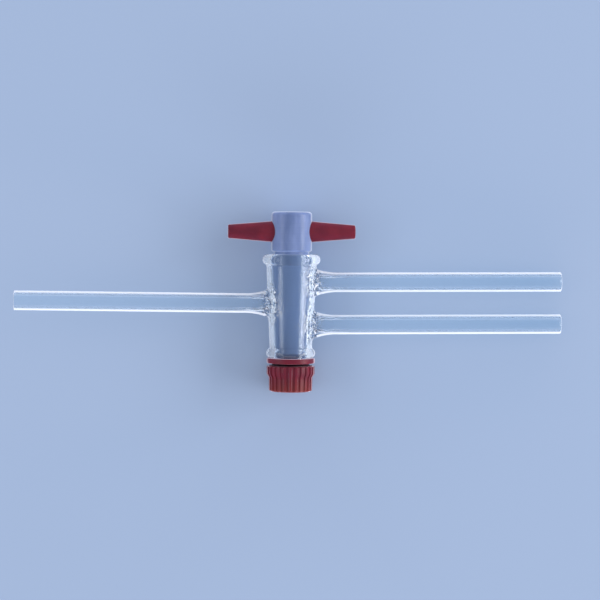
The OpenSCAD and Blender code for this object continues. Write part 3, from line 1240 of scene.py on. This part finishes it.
@dataclass
class Stack:
    """Levels and radii of the washer, the sealing ring and the nut below the barrel."""

    glass: GlassBody
    tail_d: float = 9.9
    face_clear: float = 0.02
    tail_clear: float = 0.08
    washer_t: float = 1.9
    washer_inset: float = 0.2
    cord: float = 2.0
    ring_slack: float = 0.3
    seat_depth: float = 1.1
    nut_len: float = 9.8
    tail_hidden: float = 1.05

    def __post_init__(self) -> None:
        """Works out levels from the barrel down, and radii from the tail and the bead."""
        self.washer_top = -self.glass.tail_depth - self.face_clear
        self.ring_level = self.washer_top - self.washer_t - self.face_clear - self.cord / 2
        self.seat_level = self.ring_level - self.cord / 2 - self.face_clear
        self.nut_top = self.seat_level + self.seat_depth
        self.nut_low = self.nut_top - self.nut_len
        self.tail_low = self.nut_low + self.tail_hidden
        self.washer_r = self.glass.bead_c[0] + self.glass.bead_roll - self.washer_inset
        self.ring_r = (self.tail_d + self.cord) / 2 + self.ring_slack
        self.seat_r = self.ring_r + self.cord / 2 + self.tail_clear
        self.bore_r = self.tail_d / 2 + self.tail_clear


@dataclass
class Plug:
    """Turned plug: head, relieved neck, cone with two oblique passages, threaded tail."""

    glass: GlassBody
    stack: Stack
    thread: Thread
    head_gap: float = 0.95
    head_len: float = 15.1
    head_lip: float = 0.15
    head_round: float = 1.3
    base_round: float = 0.8
    neck_relief: float = 0.85
    neck_round: float = 0.25
    cone_short: float = 1.5
    cone_bevel: float = 0.3
    clear: float = 0.03
    tail_bevel: float = 0.6
    run_out: Range = (0.5, 0.8)
    flat_depth: float = 0.75
    passage_r: float = 1.25
    handle_clear: float = 0.04
    ring_depth: float = 0.08
    ring_width: float = 0.25
    ring_levels: Range = (-0.8, -6.4)

    def __post_init__(self) -> None:
        """Works out the levels and radii that follow from the glass."""
        self.head_low = self.glass.rim_height + self.head_gap
        self.head_top = self.head_low + self.head_len
        self.handle_level = self.head_low + self.head_len / 2
        self.head_r = self.glass.cone_d / 2 + self.head_lip
        self.neck_r = self.glass.cone_d / 2 - self.neck_relief
        self.cone_low = self.cone_short - self.glass.tail_depth
        self.flat_x = self.thread.crest_r - self.flat_depth

    def _outline(self) -> Outline:
        """Draws the plug, with fine stations over the thread.

        Returns:
            The outline, from axis to axis.
        """
        foot, top, bevel = self.stack.tail_low, self.glass.cone_top, self.cone_bevel
        low_r, top_r = (self.glass.bore_r(level) - self.clear
                        for level in (self.cone_low + bevel, top - bevel))
        tail_r, tail_bevel = self.thread.crest_r, self.tail_bevel
        base = (self.head_r - self.base_round, self.head_low + self.base_round)
        crown = (self.head_r - self.head_round, self.head_top - self.head_round)
        return [(0.0, foot),
                *straight((tail_r - tail_bevel, foot), (tail_r, foot + tail_bevel), 0.2),
                *straight((tail_r, foot + tail_bevel), (tail_r, self.cone_low), 0.12)[1:],
                (low_r - bevel, self.cone_low),
                *straight((low_r, self.cone_low + bevel), (top_r, top - bevel), 0.4),
                (top_r - bevel, top), (self.neck_r + self.neck_round, top),
                (self.neck_r, top + self.neck_round), (self.neck_r, self.head_low),
                *arc(base, self.base_round, -90, 0, 10),
                *straight((self.head_r, base[1]), (self.head_r, crown[1]), 0.8)[1:-1],
                *arc(crown, self.head_round, 0, 90, 9),
                (0.0, self.head_top)]

    def _tail_radius(self, off_axis: np.ndarray, turn: np.ndarray,
                     height: np.ndarray) -> np.ndarray:
        """Presses the thread and its two flats into the tail.

        Args:
            off_axis: Radii of the plug's vertices.
            turn: Their angles.
            height: Their heights.

        Returns:
            Their new radii.
        """
        start, length = self.run_out
        root_r = self.thread.crest_r - self.thread.depth
        share = np.clip((self.cone_low - start - height) / length, 0, 1)
        wanted = root_r + (self.thread.radius(turn, height) - root_r) * share
        flat = self.flat_x / np.maximum(np.abs(np.cos(turn)), 1e-6)
        tail = (height < self.cone_low + HAIR) & (off_axis < self.thread.crest_r + HAIR)
        return np.where(tail, np.minimum(off_axis, np.minimum(wanted, flat)), off_axis)

    def _cone_radius(self, off_axis: np.ndarray, _: np.ndarray,
                     height: np.ndarray) -> np.ndarray:
        """Scores the shallow rings that the lathe left into the cone.

        Args:
            off_axis: Radii of the plug's vertices.
            _: Their angles.
            height: Their heights.

        Returns:
            Their new radii.
        """
        cone = (height > self.cone_low) & (height < self.glass.cone_top) & (off_axis > self.neck_r)
        return off_axis - cone * sum(
            self.ring_depth * np.exp(-((height - level) / self.ring_width) ** 2)
            for level in self.ring_levels)

    def _passage(self, left_level: float) -> Piece:
        """Makes the tool for one oblique passage, climbing a port level from left to right.

        Args:
            left_level: Level of its left mouth.

        Returns:
            The closed tool, in place.
        """
        right_level = left_level + self.glass.port_level
        left = Vector((-self.glass.bore_r(left_level), 0, left_level))
        right = Vector((self.glass.bore_r(right_level), 0, right_level))
        half = (right - left).length / 2 + 1
        tool = Bench.rod("oblique_tool", self.passage_r, -half, half, 1.0, 48)
        return Bench.aim(tool, right - left, (left + right) / 2)

    def build(self) -> Piece:
        """Models the plug and hands it over.

        Returns:
            The plug, dressed and in place.
        """
        plug = Bench.lathe("plug_turned", self._outline(), 128)
        reshape(plug, self._tail_radius)
        reshape(plug, self._cone_radius)
        for level in (0.0, -self.glass.port_level):
            Bench.cut(plug, self._passage(level))
        reach = 1.5 * self.head_r
        hole = Bench.rod("hole_tool", Handle.root_r + self.handle_clear, -reach, reach, 1.0, 96)
        Bench.cut(plug, Bench.aim(hole, RIGHT, UP * self.handle_level))
        return hand_over(plug, Slot.PTFE, "plug", "plug", 32.0)


@dataclass
class Handle:
    """One red bar through the plug's head, straight inside it and tapering to both tips."""

    plug: Plug
    half: float = 24.2
    root_r: float = 4.1
    tip_r: float = 2.65
    tip_round: float = 0.5
    dish: float = 0.25
    dish_edge: float = 0.02

    def build(self) -> Piece:
        """Models the handle and hands it over.

        Returns:
            The handle, dressed and in place.
        """
        tip = (self.tip_r - self.tip_round, self.half - self.tip_round)
        root = (self.root_r, math.sqrt(self.plug.head_r ** 2 - self.root_r ** 2))
        side = arc(tip, self.tip_round, 90, 0, 15) + straight((self.tip_r, tip[1]), root, 1.5)[1:]
        handle = Bench.lathe("handle_bar", [
            (0.0, self.half), *side, *straight(root, (root[0], -root[1]), 2.0)[1:-1],
            *[(r, -z) for r, z in reversed(side)], (0.0, -self.half)], 96)
        # Shallow sink marks where the moulding cooled, on the ends of both wings
        points = points_of(handle)
        off_axis = np.hypot(points[:, 0], points[:, 1])
        end = (np.abs(points[:, 2]) - self.half + self.dish_edge) / self.dish_edge
        dish = self.dish * np.clip(1 - (off_axis / tip[0]) ** 2, 0, 1) * np.clip(end, 0, 1)
        points[:, 2] -= np.sign(points[:, 2]) * dish
        move_points(handle, points)
        Bench.aim(handle, RIGHT, UP * self.plug.handle_level)
        return hand_over(handle, Slot.RED, "plug", "handle")


@dataclass
class Washer:
    """Flat red washer whose hole is keyed to the tail's flats."""

    stack: Stack
    plug: Plug
    edge: float = 0.35

    def build(self) -> Piece:
        """Models the washer and hands it over.

        Returns:
            The washer, dressed and in place.
        """
        top, low = self.stack.washer_top, self.stack.washer_top - self.stack.washer_t
        rim = self.stack.washer_r - self.edge
        washer = Bench.lathe("washer_keyed", [
            (0.0, low), *arc((rim, low + self.edge), self.edge, -90, 0, 15),
            *arc((rim, top - self.edge), self.edge, 0, 90, 15), (0.0, top)], 128)
        tool = Bench.rod("key_tool", self.stack.bore_r, low - 1, top + 1, top, 96)
        key_x = self.plug.flat_x + self.stack.tail_clear
        for side in (-1, 1):
            with Bench.editing(tool):
                bpy.ops.mesh.bisect(plane_co=(side * key_x, 0, 0), plane_no=(side, 0, 0),
                                    clear_outer=True, use_fill=True)
        Bench.cut(washer, tool)
        return hand_over(washer, Slot.RED, "plug", "washer")


@dataclass
class SealRing:
    """Dark sealing ring with the fine flash line of its mould."""

    stack: Stack
    flash: float = 0.03
    flash_width: float = 0.09
    facets: int = 48

    def build(self) -> Piece:
        """Models the ring and hands it over.

        Returns:
            The ring, dressed and in place.
        """
        outline = []
        for i in range(self.facets + 1):
            a = 2 * math.pi * i / self.facets
            lip = self.flash * math.exp(-((math.sin(a) / self.flash_width) ** 2))
            r = self.stack.cord / 2 - self.flash + lip
            outline.append((self.stack.ring_r + r * math.cos(a),
                            self.stack.ring_level + r * math.sin(a)))
        ring = Bench.lathe("o_ring_cord", outline, 128)
        return hand_over(ring, Slot.RUBBER, "seal", "o_ring", 60.0)


@dataclass
class Nut:
    """Red nut with ribs for the fingers, a seat for the ring and a thread inside."""

    stack: Stack
    thread: Thread
    collar_wall: float = 1.77
    collar_len: float = 2.9
    slope: float = 1.4
    wall: float = 3.27
    draft: float = 0.15
    edge: float = 0.3
    foot_bevel: float = 0.4
    seat_bevel: float = 0.3
    lip: float = 0.15
    mouth: float = 0.35
    rib_count: int = 24
    rib_height: float = 0.43
    rib_round: float = 0.14
    rib_depth: float = 1.2
    rib_upright: float = 0.4
    play: float = 0.08
    fade: float = 0.9
    sector: int = 12

    def __post_init__(self) -> None:
        """Works out the radii that follow from the stack, and the way that a rib faces."""
        self.collar_r = self.stack.seat_r + self.collar_wall
        self.side_r = self.stack.bore_r + self.wall
        self.thread_low = self.stack.nut_low + self.foot_bevel
        self.thread_top = self.stack.seat_level - self.seat_bevel
        # One rib faces the bench
        down = PLACE.turn.transposed() @ -UP
        self.rib_facing = math.degrees(math.atan2(down.y, down.x))

    def _outline(self) -> Outline:
        """Draws the nut's core, smaller all round by the height of the ribs.

        Returns:
            The closed half section.
        """
        low, top, bore_r = self.stack.nut_low, self.stack.nut_top, self.stack.bore_r
        seat_r, shoulder = self.stack.seat_r, top - self.collar_len
        wide, side = self.collar_r - self.rib_height, self.side_r - self.rib_height
        foot, mouth = side - self.draft, (bore_r + self.mouth, low)
        return [mouth, *straight((bore_r, self.thread_low), (bore_r, self.thread_top), 0.14),
                (bore_r + self.seat_bevel, self.stack.seat_level),
                (seat_r, self.stack.seat_level), (seat_r, top - self.lip),
                (seat_r + self.lip, top), (wide - self.edge, top),
                (wide, top - self.edge), (wide, shoulder),
                *straight((side, shoulder - self.slope), (foot, low + self.edge), 1.2),
                (foot - self.edge, low), mouth]

    def _bore_radius(self, off_axis: np.ndarray, turn: np.ndarray,
                     height: np.ndarray) -> np.ndarray:
        """Presses the thread into the bore, with play round the tail's own thread.

        Args:
            off_axis: Radii of the nut's vertices.
            turn: Their angles.
            height: Their heights.

        Returns:
            Their new radii.
        """
        bore_r = self.stack.bore_r
        bore = (off_axis < bore_r + HAIR) & (height < self.stack.seat_level)
        wanted = np.minimum(self.thread.radius(turn, height) + self.play, bore_r)
        fade = np.clip(np.minimum(height - self.thread_low, self.thread_top - height)
                       / self.fade, 0, 1)
        return np.where(bore, bore_r + (wanted - bore_r) * fade, off_axis)

    def _raise_ribs(self, nut: Piece) -> None:
        """Raises the ribs from the core and rounds their edges.

        Args:
            nut: The nut's core.
        """
        x, y, height = rows(nut.data.polygons, "center").T
        facing = rows(nut.data.polygons, "normal")
        off_axis = np.hypot(x, y)
        outward = (facing[:, 0] * x + facing[:, 1] * y) / np.maximum(off_axis, TINY)
        pitch = 360 / self.rib_count
        turn = np.degrees(np.arctan2(y, x)) - self.rib_facing
        share = ((turn + pitch / 4) / pitch) % 1.0
        chosen = (share < 0.5) & (outward > self.rib_upright) \
            & (off_axis > self.side_r - self.rib_depth) \
            & (height > self.stack.nut_low + self.edge - HAIR) \
            & (height < self.stack.nut_top - self.edge + HAIR)
        with Bench.editing(nut, faces=chosen):
            bpy.ops.mesh.extrude_region_shrink_fatten(
                TRANSFORM_OT_shrink_fatten={"value": self.rib_height, "use_even_offset": True})
        Bench.modify(nut, "BEVEL", width=self.rib_round, segments=2, limit_method="ANGLE",
                     angle_limit=math.radians(50))

    def build(self) -> Piece:
        """Models the nut and hands it over.

        Returns:
            The nut, dressed and in place.
        """
        steps = self.rib_count * self.sector
        nut = Bench.lathe("nut_ribbed", self._outline(), steps)
        turn = math.radians(self.rib_facing % (360 / steps))
        Bench.place(nut, Matrix.Rotation(turn, 4, "Z"))
        reshape(nut, self._bore_radius)
        self._raise_ribs(nut)
        return hand_over(nut, Slot.RED, "nut", "nut")


# ---------------------------------------------------------------- the studio

class Side(Enum):
    """Sides of the bench that a light stands on, as the direction towards it."""

    RIGHT = (1.0, 0.0)
    LEFT = (-1.0, 0.0)
    FAR = (0.0, 1.0)
    NEAR = (0.0, -1.0)


@dataclass
class Panel:
    """A flat soft light that faces the object."""

    name: str
    side: Side
    elevation: float
    width: float
    height: float
    radiance: float
    mirrored: bool = True
    distance: float = 3.2

    def build(self) -> None:
        """Stands the panel up: its power follows from its radiance and its area."""
        lamp = bpy.data.lights.new(self.name, "AREA")
        lamp.shape = "RECTANGLE"
        lamp.size, lamp.size_y = self.width, self.height
        lamp.energy = self.radiance * self.width * self.height * math.pi
        panel = bpy.data.objects.new(self.name, lamp)
        bpy.context.scene.collection.objects.link(panel)
        e = math.radians(self.elevation)
        x, y = self.side.value
        place = Vector((x * math.cos(e), y * math.cos(e), math.sin(e))) * self.distance
        panel.location = place
        panel.rotation_euler = place.to_track_quat("Z", "Y").to_euler()
        panel.visible_camera = False
        panel.visible_glossy = panel.visible_transmission = self.mirrored


@dataclass
class Studio:
    """Pale card, soft light from all sides and a camera straight above."""

    view_width: float = 0.228
    centre: Spot = (0.00422, 0.00067)
    camera_height: float = 1.0
    object_height: float = 0.010
    camera_turn: float = 0.44
    sensor_mm: float = 36.0
    card_size: float = 12.0
    sky: str = "#EEF3FA"
    sky_strength: float = 0.5
    wall: str = "#A6BBDC"
    panels: list[Panel] = field(default_factory=lambda: [
        Panel("panel_right", Side.RIGHT, 22, 3.2, 1.4, 4.8),
        Panel("panel_left", Side.LEFT, 34, 2.8, 0.8, 2.2),
        Panel("panel_far", Side.FAR, 10, 4.8, 0.7, 5.5, False),
        Panel("panel_near", Side.NEAR, 10, 4.8, 0.7, 8.0, False)])

    def _card(self) -> None:
        """Lays the card under the object."""
        Bench.clear()
        bpy.ops.mesh.primitive_plane_add(size=self.card_size, location=(0, 0, 0))
        card = bpy.context.object
        card.name = "card"
        card.data.materials.append(PaleCard().material())

    def _room(self) -> None:
        """Paints the room: a pale sky that lights the object, and the wall that is seen."""
        world = bpy.data.worlds.new("room")
        bpy.context.scene.world = world
        add = open_tree(world)
        sky = add("Background", linear(self.sky), self.sky_strength)
        wall = add("Background", linear(self.wall), 1.0)
        rays = add("LightPath").node.outputs
        seen = rays["Is Camera Ray"]
        for kind in ("Is Glossy Ray", "Is Transmission Ray"):
            seen = add("Math", seen, rays[kind], operation="MAXIMUM")
        add("OutputWorld", add("MixShader", seen, sky, wall))

    def _camera(self) -> None:
        """Stands the camera straight above the object."""
        lens = bpy.data.cameras.new("camera")
        lens.sensor_width = self.sensor_mm
        lens.lens = self.sensor_mm * self.camera_height / self.view_width
        camera = bpy.data.objects.new("camera", lens)
        bpy.context.scene.collection.objects.link(camera)
        camera.location = (*self.centre, self.camera_height + self.object_height)
        camera.rotation_euler = (0, 0, math.radians(self.camera_turn))
        bpy.context.scene.camera = camera
        bpy.context.scene.view_settings.view_transform = "Standard"

    def build(self) -> None:
        """Lays the card, lights it and stands the camera over it."""
        self._card()
        for panel in self.panels:
            panel.build()
        self._room()
        self._camera()


def main() -> None:
    """Builds every piece in order, then the studio."""
    logging.basicConfig(level=logging.INFO, format="%(message)s")
    thread = Thread()
    glass = GlassBody()
    stack = Stack(glass)
    plug = Plug(glass, stack, thread)
    for maker in (glass, plug, Handle(plug), Washer(stack, plug), SealRing(stack),
                  Nut(stack, thread)):
        piece = maker.build()
        LOG.info("%s done", piece.name)
    Studio().build()


if __name__ == "__main__":
    main()
